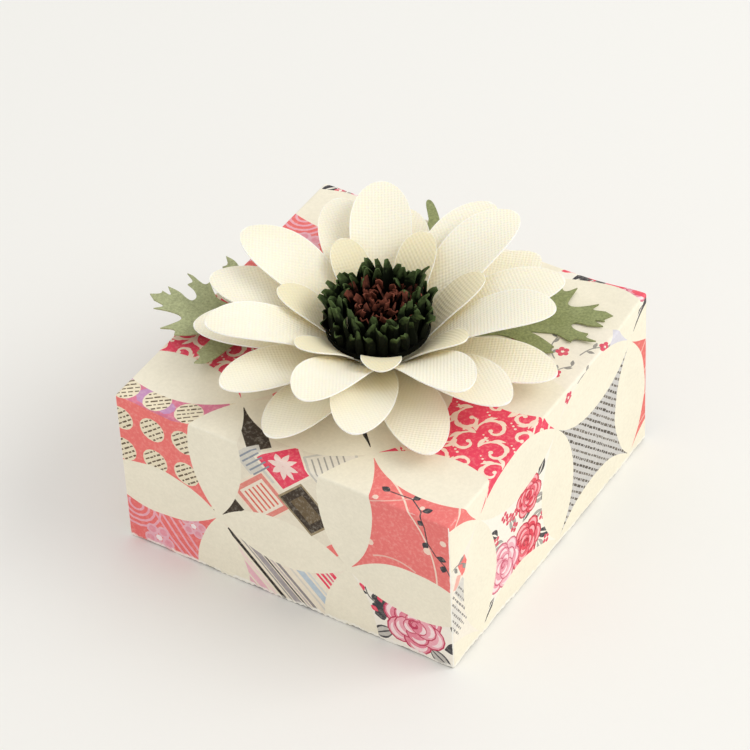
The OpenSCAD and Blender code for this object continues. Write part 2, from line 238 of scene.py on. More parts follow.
def vines(draw):
    """Coral with thin cream tendrils and one dark sprig of buds."""
    tendril = "#f6d8c6"
    for *arc, half, ink in (
            (-19, -10, 24, 62, -70, 0.18, tendril), (-16, 24, 21, -72, 50, 0.14, "#f0b9ac"),
            (16, 15, 10, 170, 90, 0.2, tendril), (-4, -17, 9, 60, 60, 0.18, "#f0b9ac")):
        yield stroke(curl(*arc), half), ink
    stem = [[-6, 8.3], [-1.5, 8.5], [1.5, 6.5], [2.8, 3], [3.3, -0.5], [5, -3], [6.8, -4.6], [9, -9]]
    yield stroke(stem, 0.13), slate
    for bud in ((-6, 8.3, 170, 2), (-1.4, 8.4, 60, 1.9), (1.6, 6.6, 40, 2), (2.6, 3.4, 150, 1.4),
                (3.2, -0.4, 250, 2), (5.2, -3, -10, 2), (6.6, -4.6, -100, 1.8), (8, -7, 20, 1.8)):
        yield leaflet(*bud, 1.35), slate
    for x, y, r in ((3.2, -2.6, 0.85), (-7.6, 5.8, 0.6), (1.2, 7.4, 0.5), (6.6, 0.8, 0.7), (-9, -6, 0.8)):
        yield disc(x, y, r, 8), tendril


def blossoms(draw):
    """Coral with pink ring arcs, slanting pink pinstripes and five-petalled blossoms."""
    for k in range(4):
        yield stroke(curl(-5.3, 9.5, 1.6 + 1.3 * k, 150, 270), 0.26), "#f0adba"
        slant = [[-1.5 + 2 * k, 9.6], [2.2 + 2 * k, 4], [7.4 + 2 * k, -1.6]]
        yield stroke(slant, 0.26), "#f0adba"
    for x, y, r in ((-0.7, 2.6, 2.1), (7.8, 9.6, 1.8), (-8, -4.4, 1.8), (6.4, -6.6, 1.9),
                    (-3, -10, 1.7), (-12, 3, 1.6)):
        yield from posy(x, y, r, 5, 20 * x, pink)
        yield from posy(x, y, r * 1.04, 5, 20 * x, "#e99aa8", 0.4)
        yield disc(x, y, r * 0.36, 8), "#fbeeee"


def stripes(draw):
    """Slanting stripes of many widths, from coral and pink over black and grey to pale blue and red."""
    for off, width, ink in (
            (-12.5, 3, coral), (-10, 0.5, "#f0b9ad"), (-8.6, 0.5, coral), (-7.4, 0.4, coral),
            (-6, 2, "#f3cdcb"), (-4.4, 0.8, pink), (-2.8, 1.5, "#efbcc6"), (-1.2, 0.7, "#f5dcd6"),
            (0.2, 0.8, "#2c2622"), (1.5, 0.4, ash), (2.6, 1.3, "#a79fa0"), (3.7, 0.4, slate),
            (4.5, 0.5, "#cfc0bb"), (5.4, 0.7, "#938c8c"), (7.4, 0.5, "#dcd6ca"), (9.2, 1.5, "#bccad5"),
            (10.7, 0.5, "#d9dad6"), (12.6, 0.6, crimson), (13.7, 0.7, crimson), (14.8, 0.5, "#e56a82"),
            (15.9, 0.9, crimson)):
        yield bar(off * 0.719, off * 0.695, 36, width, -46), ink


def scrolls(draw):
    """Crimson with cream foliage: wide tapering curls, long bent leaves along their backs, and rows of
    dots. Those that the cream petals would hide are passed over."""
    gilt = "#f9e4cf"
    swell = 0.08 + 0.27 * np.sin(np.pi * np.linspace(0.1, 0.9, 15))
    for n in range(30):
        x, y = 5.7 * (n % 5 - 2.2) + 2.85 * (n // 5 % 2), 5.2 * (n // 5 - 2.5)
        if max(abs(x), abs(y)) > 10.5 and min(abs(x), abs(y)) < 6.5:
            continue
        x, y = draw.uniform(-0.5, 0.5, 2) + [x, y]
        side = -1 if n % 2 else 1
        path = curl(x, y, draw.uniform(2.7, 3.7), 97 * n, 340 * side, 0.18, 15)
        yield stroke(path, swell), gilt
        yield disc(*path[-1], 0.48, 7), gilt
        for k in (0, 2, 4, 7):
            ahead = path[k + 1] - path[k]
            turn = math.degrees(math.atan2(ahead[1], ahead[0])) - side * (38 - 4 * k)
            yield leaflet(*path[k], turn, 2.9 - 0.17 * k, 0.85, 0.5 * side), gilt
        for k in range(3):
            yield disc(x + 3.2 - 0.7 * k, y + 2.2 + 0.5 * k, 0.3 - 0.05 * k, 6), gilt


def rose_bunch(draw):
    """White with red and pink roses, buds, small red flowers and dark and grey leaves."""
    for x, y, turn, length, ink in (
            (-1, 1.2, 120, 5, slate), (0.6, 3.4, 75, 5, ash), (-1.4, -1.6, 190, 4.4, ash),
            (0, 0.6, 20, 4, slate), (9, -3.4, -65, 7, slate), (5.4, 6.2, 45, 6, slate),
            (7.4, 6.4, 15, 5, ash), (-4.4, -7.4, 215, 3.6, slate), (-8, 7, 130, 3.6, slate),
            (9.4, -9, -60, 6, slate), (-1.6, -5.4, 250, 4, ash), (2.4, 7.6, 100, 4.4, slate),
            (9.4, 5, -20, 4, slate), (-3.4, 5.4, 60, 4, ash), (-0.4, 8.2, 150, 3.4, slate)):
        yield leaflet(x, y, turn, length, 2.2, 0.15), ink
        yield leaflet(x, y, turn, length * 0.8, 0.4, 0.15), pale
    yield from rose(-5.8, 3.6, 4.1, 140, red_rose)
    yield from rose(4.9, 2.1, 5.1, 20, red_rose)
    yield from rose(4.1, -5.7, 5.3, 75, pink_rose)
    for x, y in ((-5.6, -3.4), (-2.2, -1.6), (-3.6, -8), (2.6, 8.2), (-5.2, -1.4), (-7.2, -4.8), (9.6, 9.4)):
        yield from posy(x, y, 0.75, 4, 40 * x, "#dc5064")


def hedge(draw):
    """The bunch of roses again, over crimson petals and slate leaves along the field's lower edge."""
    yield from rose_bunch(draw)
    for n in range(13):
        ink = (crimson, slate, "#ee5a6c", crimson, slate)[n % 5]
        yield leaflet(-15 + 2 * n, -7.9 + 0.5 * (n % 2), (12, -14, 4)[n % 3], 3.6, 1.5, 0.3), ink
    yield leaflet(5, -8.4, 20, 6, 2.6), "#ee5a6c"
    yield leaflet(8.4, -8, -12, 5.5, 2.6), slate


def one_rose(draw):
    """White with a large pink rose, red buds, dark leaves and veined grey ones."""
    grey = "#c3bfb7"
    for *leaf, ink in (
            (-4.6, 4, 205, 5.8, slate), (-4.8, 3.9, 205, 5, grey), (2.6, 3.6, -40, 6.4, slate),
            (2.8, 3.4, -40, 5.6, grey), (-6, 8, 165, 3.4, slate), (-6.4, 9, 130, 3.2, slate),
            (-6, 7.4, 195, 3, slate), (6, 4.4, 20, 5, slate), (-1.4, 1, 250, 5, ash), (8, 9, 60, 4, slate)):
        yield leaflet(*leaf, 2.2 if ink == grey else 3.0, 0.1), ink
    for vein in ((-4.6, 4, 205), (2.6, 3.6, -40)):
        yield leaflet(*vein, 5.2, 0.35, 0.1), slate
    yield from rose(-0.3, 7.4, 6.2, 40, large_rose)
    for bud in ((-8, 7.2, 150), (-10.8, 11.2, 120), (-2.2, 0.4, 230), (2, -1.6, 280), (-7.2, 9.8, 110)):
        yield leaflet(*bud, 1.9, 1.2), crimson
    yield from spray(-8, 9, 128, 4.2, slate, 3, 0.8)


def dashed_rows(draw):
    """Grey-white with close slanting rows of uneven dashes."""
    for row in range(-15, 16):
        ink = ("#655e54", "#777066", "#575047")[row % 3]
        yield from dashes(0, 0, 19.5, 45, 1.25 * row, 0.5, 1.7, ink, draw)


def sprigs(draw):
    """Pale paper with small red flowers, thin grey sprigs and a few lilac-grey blocks."""
    yield bar(11, 9, 7, 5, 30), "#dcd9e0"
    yield bar(-9, -9, 7, 5, 30), "#e3ddd9"
    for stem in ((3.2, -9, 70), (1.4, -3, 115), (5, 0, 50), (-7, 3, 120), (-4, -10, 20), (9, -6, 80),
                 (-9, 9, 10)):
        yield from spray(*stem, 6, "#98948d", 4, 0.75)
    for x, y in ((1.7, -0.6), (3.4, -6.6), (9.8, -9.4), (-6, 6), (8, 4.5), (-8.5, -3), (-1, 9.5), (0, -11)):
        yield from posy(x, y, 0.8, 5, 25 * y, "#dd5469")


def scraps(draw):
    """Pale paper with torn-looking bits of coral and grey, and rows of grey dashes."""
    grey = "#8f8b86"
    for *scrap, ink in (
            (-7.6, 9.6, 4, 2.6, 20, coral), (-5, 7.4, 3, 1.6, -30, "#f0b3a6"), (-2, 9, 5, 3.4, 30, "#d9d5cd"),
            (3, 6, 6, 4, 20, "#e4dfd6"), (-8, 2, 6, 3.4, 50, "#dcd8d0"), (6, -4, 8, 5, 15, "#e7dccb"),
            (-4, -7, 7, 4, -20, coral)):
        yield bar(*scrap), ink
    for row in range(-3, 4):
        yield from dashes(2, 7.5, 5, 32, 1.1 * row, 0.4, 1.2, grey, draw)
    yield from spray(-9, 5, 70, 6, grey, 4, 0.9)


def coral_lines(draw):
    """Plain coral-red with a few lighter lines."""
    for k in range(6):
        yield stroke(curl(-20, -20, 16 + 5 * k, 10, 70), 0.18), "#f4bdb1"


grounds = {ruled_dots: coral, blocks: "#ebe2cd", vines: "#ee7b77", blossoms: "#ee7472", stripes: "#f1e6d2",
           one_rose: pale, scrolls: crimson, rose_bunch: pale, hedge: pale, dashed_rows: "#cdcac6",
           sprigs: "#f4ecdb", scraps: "#f2eadb", coral_lines: "#e8736e"}
# Which pattern fills which field, counted in columns and rows from the front right field of the top
field_prints = {
    (-2, -1): ruled_dots, (-1, -1): blocks, (0, -1): vines, (-2, -2): blossoms, (-1, -2): stripes,
    (0, -2): one_rose, (0, 0): scrolls, (1, 0): rose_bunch, (1, 1): dashed_rows, (1, -1): scraps,
    (0, 1): sprigs, (1, 2): coral_lines, (0, 2): hedge, (-2, 0): scrolls, (-2, 1): blossoms,
    (-1, 0): stripes, (-1, 1): vines, (-1, 2): one_rose, (-2, 2): rose_bunch, (2, 0): ruled_dots,
    (2, 1): vines, (-3, 0): rose_bunch, (-3, 1): ruled_dots, (-1, 3): scrolls, (0, 3): dashed_rows}
spare_prints = (blossoms, dashed_rows, scrolls, stripes, sprigs, vines, ruled_dots)
# Plainer ones serve where the paper is turned in
inside_prints = (stripes, vines, sprigs, coral_lines)
outside_reach = 80

# The lattice lines, by column and by row: the print stretches a little towards the front and is closer
# at the back
lattice = np.arange(-6, 7)
field_pitch = 28.15
front_pitch = 30.4
back_pitch = 27.7
lines_x = 13.9 + field_pitch * lattice
lines_y = -26.0 + np.where(lattice < 0, front_pitch, back_pitch) * lattice
sheet_reach = 2 * lid_w + field_pitch


def off_sheet(x, y):
    """Whether a field or petal with this middle misses the cross-shaped sheet."""
    return abs(x) + abs(y) > sheet_reach or min(abs(x), abs(y)) > half_w + front_pitch / 2


# Each outline has an owner: the number of its field's ground, which is the field's first outline
draw = np.random.default_rng(7)
outlines, inks, owners = [], [], []
for i, column in enumerate(lattice[:-1]):
    for j, row in enumerate(lattice[:-1]):
        x, y = (lines_x[i] + lines_x[i + 1]) / 2, (lines_y[j] + lines_y[j + 1]) / 2
        if off_sheet(x, y):
            continue
        spare = spare_prints if max(abs(x), abs(y)) < outside_reach else inside_prints
        pattern = field_prints.get((column, row), spare[(3 * column + 5 * row) % len(spare)])
        field = bar(0, 0, lines_x[i + 1] - lines_x[i], lines_y[j + 1] - lines_y[j], 0)
        owner = len(owners)
        for outline, ink in [(field, grounds[pattern]), *pattern(draw)]:
            outlines.append(np.add(outline, [x, y]))
            inks.append(ink)
            owners.append(owner)
# Cream petals lie along every lattice line, on top of the fields: each a lens between two equal arcs,
# which meet at right angles, with a cream spot where four petals meet. Their owner is -1.
t = np.linspace(-1, 1, 25)
sag = field_pitch / 2 * (np.sqrt(2 - t ** 2) - 1)
for i in range(len(lattice) - 1):
    for j in range(len(lattice) - 1):
        start = np.array([lines_x[i], lines_y[j]])
        for turn, step in ((0, [lines_x[i + 1] - lines_x[i], 0]), (90, [0, lines_y[j + 1] - lines_y[j]])):
            middle = start + np.array(step) / 2
            if off_sheet(*middle):
                continue
            waves = 3.1 * (1 + (i + 2 * j) % 3)
            wobble = 0.12 * np.sin(waves * t[:, None] + draw.uniform(0, 6, 2)) * (1 - t[:, None] ** 2)
            along = t * np.linalg.norm(step) / 2
            near = np.stack([along, -sag - wobble[:, 0]], 1)
            far = np.stack([along, sag + wobble[:, 1]], 1)
            outlines += [turned(np.vstack([near, far[-2:0:-1]]), turn, *middle), disc(*start, 1.3, 12)]
            inks += [cream] * 2
            owners += [-1] * 2

# The fold is a profile from the middle of the top outwards: down the wall, round the rim, up inside and
# back to the middle. Its knots are lengths of paper, with the share of the wall's thickness passed there,
# the height, and whether a strip still has its full width.
rim_half = 0.3
table_gap = 0.03
rim_length = 1.1
rim_turn = np.linspace(0, 1, 7)
wall_foot = half_w + lid_top - rim_z - rim_half
inner_foot = wall_foot + rim_length
inner_top = inner_foot + ceiling_z - rim_z - rim_half
flap_end = inner_top + half_w - side_wall
knots_v = np.concatenate([[half_w], wall_foot + rim_length * rim_turn, [inner_top, flap_end]])
knots_in = np.concatenate([[0], (1 - np.cos(np.pi * rim_turn)) / 2, [1, 1]])
rim_heights = rim_z + rim_half * (1 - np.sin(np.pi * rim_turn))
knots_z = np.concatenate([[lid_top], rim_heights, [ceiling_z, ceiling_z]])
knots_open = np.concatenate([np.ones(len(knots_v) - 1), [0]])
crease_rows = crease_r * np.array([0, 0.3, 0.6, 1, 1.7])
# Each strip's turn, and the thickness of the walls beside it
strips = ((0, front_wall), (90, side_wall), (180, front_wall), (270, side_wall))
# Wear: how far up the rim waves, how deep it is torn, the corner that stands up, the bow of the walls, and
# how wide the ink has cracked at the creases and the rim
wave_reach = 9
torn_reach = 1.5
torn_depth = 0.16
corner_lift = 1.4
corner_spread = 8
wall_bow = 0.25
crease_wear = 0.3
rim_wear = 0.9


def reach(v, wall):
    """Half the lid less the passed share of a wall, and closing to nothing along the flap."""
    return (half_w - wall * np.interp(v, knots_v, knots_in)) * np.interp(v, knots_v, knots_open)


def sheet_outline(extra):
    """The cross-shaped sheet, anticlockwise: out along one edge of each strip to its tip, back along the
    other."""
    loops = []
    for k, (turn, beside) in enumerate(strips):
        low = np.unique(np.concatenate([knots_v, half_w + crease_rows, extra[k - 1]]))
        high = np.unique(np.concatenate([knots_v, half_w + crease_rows, extra[k]]))
        there = np.stack([low, -reach(low, beside)], 1)
        back = np.stack([high, reach(high, beside)], 1)[-2:0:-1]
        loops.append(turned(np.vstack([there, back]), turn))
    return np.vstack(loops)


def fold_lines():
    """Rows across each strip where the paper bends: by the top and upright creases, the rim and the flaps."""
    lines = []
    wavy_rows = wall_foot - np.array([6, 3, 1.2, 0.5])
    for turn, beside in strips:
        for v in np.concatenate([half_w + crease_rows, half_w - crease_rows[1:], wavy_rows, knots_v[1:-1]]):
            width = reach(max(v, half_w), beside)
            across = np.linspace(-width, width, 120 if wall_foot - 7 < v <= inner_foot else 3)
            lines.append(turned(np.stack([np.full_like(across, v), across], 1), turn))
        for side in (-1, 1):
            for inset in crease_rows[1:]:
                edge = side * (half_w - inset)
                lines.append(turned([[-half_w, edge], [wall_foot, edge]], turn))
            slit = np.array([inner_top + 0.3, flap_end - 0.4])
            lines.append(turned(np.stack([slit, side * (reach(slit, beside) - 0.15)], 1), turn))
    return lines


spots = np.arange(-flap_end, flap_end, 4.0)
loose = np.stack(np.meshgrid(spots + 1.3, spots + 0.7), 2).reshape(-1, 2)
loose = loose[np.abs(loose).min(1) < half_w - 2.5]


def cut_sheet(extra):
    """Triangles of the sheet, cut along every printed outline and fold, and which outlines each lies in."""
    rings = [sheet_outline(extra)]
    for ring in outlines:
        after = np.roll(ring, -1, 0)
        area = np.sum(ring[:, 0] * after[:, 1] - ring[:, 1] * after[:, 0])
        rings.append(ring if area > 0 else ring[::-1])
    lines = fold_lines()
    starts = np.cumsum([0] + [len(p) for p in rings + lines])
    spans = list(zip(starts, starts[1:]))
    faces = [list(range(a, b)) for a, b in spans[:len(rings)]]
    edges = [(n, n + 1) for a, b in spans[len(rings):] for n in range(a, b - 1)]
    points = np.vstack(rings + lines + [loose]).tolist()
    out = delaunay_2d_cdt(points, edges, faces, 0, 1e-4, True)
    inside = [n for n, found in enumerate(out[5]) if 0 in found]
    used, corners = np.unique([out[2][n] for n in inside], return_inverse=True)
    return np.array(out[0])[used], corners.reshape(-1, 3), [out[5][n] for n in inside]


def edge_marks(flat):
    """Lengths of paper at the corners that the cut left on each pair of touching strip edges."""
    marks = []
    for k in range(4):
        found = []
        for (turn, beside), side in ((strips[k], 1), (strips[(k + 1) % 4], -1)):
            v, u = turned(flat, -turn).T
            found.append(v[(v > half_w) & (np.abs(u - side * reach(v, beside)) < 2e-4)])
        marks.append(np.unique(np.round(np.concatenate(found), 3)))
    return marks


# Cut twice: the second time, edges that meet when folded share their corners
flat, triangles, inside = cut_sheet([np.zeros(0)] * 4)
flat, triangles, inside = cut_sheet(edge_marks(flat))


def folded(flat):
    """The sheet folded up: the top stays flat and each strip follows the profile. Outer corners are then
    rounded by pulling them towards the box that lies a crease radius inside, flaps part along their slits,
    the rim turns ragged and wavy, the back right corner stands up a little, and the walls bow."""
    x, y = flat.T
    across = np.abs(x) > np.abs(y)
    v = np.maximum(np.abs(x), np.abs(y))
    u = np.where(across, y, x)
    wall = np.where(across, side_wall, front_wall)
    beside = np.where(across, front_wall, side_wall)
    out = np.sign(np.where(across, x, y)) * np.where(v < half_w, v, reach(v, wall))
    slit = (v > inner_top + 0.2) & (np.abs(u) > reach(v, beside) - 0.05)
    z = np.interp(v, knots_v, knots_z) + 0.2 * slit
    place = np.stack([np.where(across, out, u), np.where(across, u, out), z], 1)
    inner = half_w - crease_r
    core = np.clip(place, [-inner, -inner, -1], [inner, inner, lid_top - crease_r])
    off = place - core
    place = core + off * (np.abs(off).max(1) / np.maximum(np.linalg.norm(off, axis=1), 1e-9))[:, None]
    px, py = place[:, 0], place[:, 1]
    near = np.clip(1 - (place[:, 2] - rim_z) / wave_reach, 0, 1) ** 2
    edge = np.clip(1 - (place[:, 2] - rim_z) / torn_reach, 0, 1)
    wave = 0.13 * np.sin(0.55 * px + 1.7 * np.sin(0.19 * py)) + 0.12 * np.sin(0.61 * py + 0.8)
    torn = np.sin(2.9 * px - 2.3 * py) * np.sin(1.7 * px + 1.1 * py + 1) + 0.6 * np.sin(4.7 * px + 3.9 * py)
    place[:, 2] = np.maximum(place[:, 2] + near * wave + torn_depth * edge * torn, table_gap)
    raised = np.exp(-((px - half_w) ** 2 + (py - half_w) ** 2) / corner_spread ** 2)
    place[:, 2] += corner_lift * raised * np.clip(place[:, 2] / lid_top, 0, 1) ** 2
    bow = wall_bow * np.sin(0.8 * np.pi * np.clip((lid_top - place[:, 2]) / lid_top, 0, 1))
    outer = np.abs(place[:, :2]) > half_w - 1.2
    shape = np.cos(np.pi * place[:, 1::-1] / lid_w) * np.sin(0.075 * place[:, 1::-1] + [1, 2])
    place[:, :2] += np.sign(place[:, :2]) * outer * bow[:, None] * shape
    return place


def skin(name, points, faces):
    """A smooth mesh object, sharp over 40 degrees, from points in millimetres and arrays of three- or
    four-cornered faces."""
    sizes = np.concatenate([np.full(len(f), f.shape[1]) for f in faces])
    corners = np.concatenate([f.ravel() for f in faces])
    made = bpy.data.meshes.new(name)
    made.vertices.add(len(points))
    made.vertices.foreach_set("co", (np.asarray(points) * 0.001).astype(np.float32).ravel())
    made.loops.add(len(corners))
    made.loops.foreach_set("vertex_index", corners.astype(np.int32))
    made.polygons.add(len(sizes))
    made.polygons.foreach_set("loop_start", np.concatenate([[0], np.cumsum(sizes)[:-1]]).astype(np.int32))
    made.polygons.foreach_set("use_smooth", np.ones(len(sizes), bool))
    made.update(calc_edges=True)
    made.set_sharp_from_angle(angle=math.radians(40))
    piece = bpy.data.objects.new(name, made)
    bpy.context.scene.collection.objects.link(piece)
    return piece


# Each triangle takes the ink of the last outline that it lies in, out of the cream petals and its own
# field. Outlines count from 1 here, since 0 is the sheet's own, which stands for bare cream.
field_of = [max(n - 1 for n in found if owners[n - 1] == n - 1) for found in inside]
last_of = [max(n - 1 for n in found if owners[n - 1] in (-1, own)) for found, own in zip(inside, field_of)]
palette = {ink: linear(ink) for ink in set(inks)}
colours = np.array([palette[inks[n]] for n in last_of], np.float32)
# Edges that meet at the corners of the box are joined, and triangles that collapse or double are dropped
place = folded(flat)
first, corner = np.unique(np.round(place, 2), axis=0, return_index=True, return_inverse=True)[1:]
triangles = corner.ravel()[triangles]
whole = np.flatnonzero((triangles != np.roll(triangles, 1, 1)).all(1))
kept, count = np.unique(np.sort(triangles[whole], 1), axis=0, return_index=True, return_counts=True)[1:]
whole = whole[np.sort(kept[count == 1])]
flat, triangles, colours = flat[first], triangles[whole], colours[whole]
lid = skin("lid_paper", place[first], [triangles])
printed = lid.data.attributes.new("print", "FLOAT_COLOR", "CORNER")
printed.data.foreach_set("color", np.repeat(colours, 3, 0).ravel())
# How close each point is to a pressed crease or to the rubbed rim, where the ink has cracked
v = np.abs(flat).max(1)
u = np.abs(flat).min(1)
worn = 0.5 * np.exp(-((v - half_w) / crease_wear) ** 2)
worn = np.maximum(worn, np.where(v > half_w, np.exp(-((half_w - u) / crease_wear) ** 2), 0))
worn = np.maximum(worn, 0.8 * np.exp(-((v - wall_foot) / rim_wear) ** 2))
crease = lid.data.attributes.new("crease", "FLOAT", "POINT")
crease.data.foreach_set("value", worn.astype(np.float32))

# Offset-printed paper: matt ink on an open sheet, speckled where the paper shows through, cracked white
# at creases
printed_paper, tree = blank_material("printed_paper")
place = add_node(tree, "TexCoord").outputs["Object"]
ink = add_node(tree, "Attribute", attribute_name="print").outputs["Color"]
fold = add_node(tree, "Attribute", attribute_name="crease").outputs["Fac"]
mottle = add_node(tree, "TexNoise", {"Vector": place, "Scale": 1 / 0.0007, "Detail": 4.0, "Roughness": 0.7})
cloud = add_node(tree, "TexNoise", {"Vector": place, "Scale": 1 / 0.012, "Detail": 2.0})
crack = add_node(tree, "TexNoise", {"Vector": place, "Scale": 1 / 0.0016, "Detail": 3.0})
tone = add_node(tree, "MapRange", {
    "Value": mottle, "From Min": 0.3, "From Max": 0.7, "To Min": 0.95, "To Max": 1.03})
shade = add_node(tree, "MapRange", {
    "Value": cloud, "From Min": 0.3, "From Max": 0.7, "To Min": 0.97, "To Max": 1.02})
both = add_node(tree, "Math", {0: tone, 1: shade}, operation="MULTIPLY")
inked = add_node(tree, "Mix", {0: 1.0, 6: ink, 7: both}, data_type="RGBA", blend_type="MULTIPLY")
thin = add_node(tree, "MapRange", {
    "Value": mottle, "From Min": 0.5, "From Max": 0.68, "To Min": 0.0, "To Max": 0.17})
speckled = add_node(tree, "Mix", {0: thin, 6: inked, 7: linear("#f7f0df")}, data_type="RGBA")
worn_by = add_node(tree, "Math", {0: fold, 1: crack}, operation="ADD")
bare = add_node(tree, "MapRange", {
    "Value": worn_by, "From Min": 1.05, "From Max": 1.3, "To Min": 0.0, "To Max": 0.9})
final = add_node(tree, "Mix", {0: bare, 6: speckled, 7: linear("#fbf8ef")}, data_type="RGBA")
grain = add_node(tree, "Bump", {"Height": mottle, "Strength": 0.18, "Distance": 0.0001})
shader = add_node(tree, "BsdfPrincipled", {
    "Base Color": final, "Roughness": 0.78, "Specular IOR Level": 0.3, "Normal": grain})
add_node(tree, "OutputMaterial", {"Surface": shader})
lid.data.materials.append(printed_paper)
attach(lid, "lid")
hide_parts("lid")


# Leaves: three die-cut leaves of speckled olive card, deeply lobed, with their stems glued flat to the
# lid under the flower. Their blades lift a little towards the tips.

card = 0.3
hub_r = 7.2
stem_bend = hub_r * 1.2
stem_half = 0.9
ripple = 0.12
side_lift = 0.006
vein_depth = 0.1
# Painted light on the left leaf: from this distance from the middle, and over this length, it turns paler
tip_light_start = 22
tip_light_length = 12
# The outline in shares of the leaf's length, along and across; finger tips are set twice, which keeps
# them sharp
basal_lobe = np.array([
    [0.47, 0.02], [0.53, 0.07], [0.59, 0.17], [0.63, 0.28], [0.66, 0.335], [0.705, 0.35], [0.705, 0.35],
    [0.69, 0.3], [0.714, 0.28], [0.714, 0.28], [0.69, 0.2], [0.66, 0.11], [0.62, 0.04]])
right_lobes = np.array([
    [0.7, 0.05], [0.735, 0.06], [0.79, 0.137], [0.79, 0.137], [0.803, 0.115], [0.835, 0.13],
    [0.868, 0.152], [0.895, 0.157], [0.895, 0.157], [0.852, 0.12], [0.872, 0.098], [0.872, 0.098],
    [0.832, 0.075], [0.808, 0.035], [0.82, 0.008], [0.85, 0.018], [0.885, 0.045], [0.944, 0.062],
    [0.944, 0.062], [0.906, 0.008], [0.957, 0.03], [0.957, 0.03], [0.955, 0.012], [1, 0], [1, 0]])
left_lobes = np.array([
    [0.7, 0.155], [0.755, 0.2], [0.812, 0.222], [0.812, 0.222], [0.82, 0.182], [0.88, 0.2], [0.88, 0.2],
    [0.84, 0.148], [0.818, 0.115], [0.835, 0.088], [0.89, 0.08], [0.953, 0.084], [0.953, 0.084],
    [0.908, 0.056], [0.972, 0.032], [0.972, 0.032]])
# The leaf at the back shows one plain finger, bent to the left
plain_right = np.array([
    [0.4, 0.03], [0.55, 0.06], [0.7, 0.055], [0.8, 0.025], [0.86, 0.01], [0.92, -0.022], [0.98, -0.062]])
plain_left = np.array([
    [0.4, 0.03], [0.55, 0.07], [0.7, 0.07], [0.8, 0.045], [0.852, 0.042], [0.9, 0.063], [0.962, 0.092],
    [0.99, 0.088]])


def basal(sweep, reach):
    """The basal lobe, swept forward by a share of its width and reaching across by another."""
    return basal_lobe @ [[1, 0], [sweep, reach]]


def leaf_shell(turn, tip_r, tilt, right, left):
    """A flat lobed outline with its corners cut back twice, filled with triangles, lifted along its length
    and bent up at its sides, and closed with an underside a card's thickness lower and a cut edge."""
    right_side = np.vstack(right) * [tip_r, -tip_r]
    left_side = np.vstack(left) * tip_r
    stem = np.array([[hub_r * 0.45, -stem_half], [stem_bend, -stem_half]])
    ring = np.vstack([stem, right_side, left_side[::-1], (stem * [1, -1])[::-1]])
    for _ in range(2):
        after = np.roll(ring, -1, 0)
        ring = np.stack([ring * 0.75 + after * 0.25, ring * 0.25 + after * 0.75], 1).reshape(-1, 2)
    ring = ring[np.linalg.norm(ring - np.roll(ring, 1, 0), axis=1) > 1e-3]
    width = np.abs(ring[:, 1]).max()
    spots = np.stack(np.meshgrid(np.arange(hub_r, tip_r, 1.1), np.arange(-width, width, 1.1)), 2)
    vein = np.stack([np.linspace(hub_r, tip_r * 0.97, 40), np.zeros(40)], 1)
    points = np.vstack([ring, vein, spots.reshape(-1, 2)]).tolist()
    out = delaunay_2d_cdt(points, [], [list(range(len(ring)))], 0, 1e-4, True)
    kept = [face for face, found in zip(out[2], out[5]) if 0 in found]
    used, corners = np.unique(kept, return_inverse=True)
    corners = corners.reshape(-1, 3)
    p = np.array(out[0])[used]
    along = np.maximum(p[:, 0] - stem_bend, 0)
    lift = along * math.tan(math.radians(tilt)) + ripple * np.sin(along * 0.25)
    lift += side_lift * p[:, 1] ** 2 * np.clip(along / 20, 0, 1)
    lift -= vein_depth * np.exp(-(p[:, 1] / 0.5) ** 2) * np.clip(along / 8, 0, 1)
    lower = np.column_stack([turned(p, turn), lid_top + 0.02 + np.maximum(lift, 0)])
    edges = np.vstack([corners[:, [0, 1]], corners[:, [1, 2]], corners[:, [2, 0]]])
    first, count = np.unique(np.sort(edges, 1), axis=0, return_index=True, return_counts=True)[1:]
    a, b = edges[first[count == 1]].T
    n = len(lower)
    faces = [corners, corners[:, ::-1] + n, np.stack([b, a, a + n, b + n], 1)]
    return np.vstack([lower + [0, 0, card], lower]), faces


# Matt card with flecks: olive, clouded with a greyer green, with tiny pale and dark specks. The left leaf
# is painted paler towards its tip, as painted light, and stays darker near the flower, as painted shade.
leaf_card, tree = blank_material("leaf_card")
place = add_node(tree, "TexCoord").outputs["Object"]
cloud = add_node(tree, "TexNoise", {"Vector": place, "Scale": 1 / 0.004, "Detail": 3.0})
fleck = add_node(tree, "TexNoise", {"Vector": place, "Scale": 1 / 0.0005, "Detail": 3.0, "Roughness": 0.7})
green = add_node(tree, "Mix", {0: cloud, 6: linear("#838b58"), 7: linear("#9aa073")}, data_type="RGBA")
speck = add_node(tree, "MapRange", {
    "Value": fleck, "From Min": 0.35, "From Max": 0.65, "To Min": 0.78, "To Max": 1.18})
# Painted light and shade: a paler green towards the left leaf's tip, a darker one near the flower
painted_tip_light = add_node(tree, "Attribute", attribute_name="painted_tip_light").outputs["Fac"]
tip_lit_green = add_node(tree, "Mix", {0: painted_tip_light, 6: green, 7: linear("#b4b88f")}, data_type="RGBA")
flecked = add_node(tree, "Mix", {0: 1.0, 6: tip_lit_green, 7: speck}, data_type="RGBA", blend_type="MULTIPLY")
grain = add_node(tree, "Bump", {"Height": fleck, "Strength": 0.3, "Distance": 0.0001})
shader = add_node(tree, "BsdfPrincipled", {
    "Base Color": flecked, "Roughness": 0.85, "Specular IOR Level": 0.25, "Normal": grain})
add_node(tree, "OutputMaterial", {"Surface": shader})
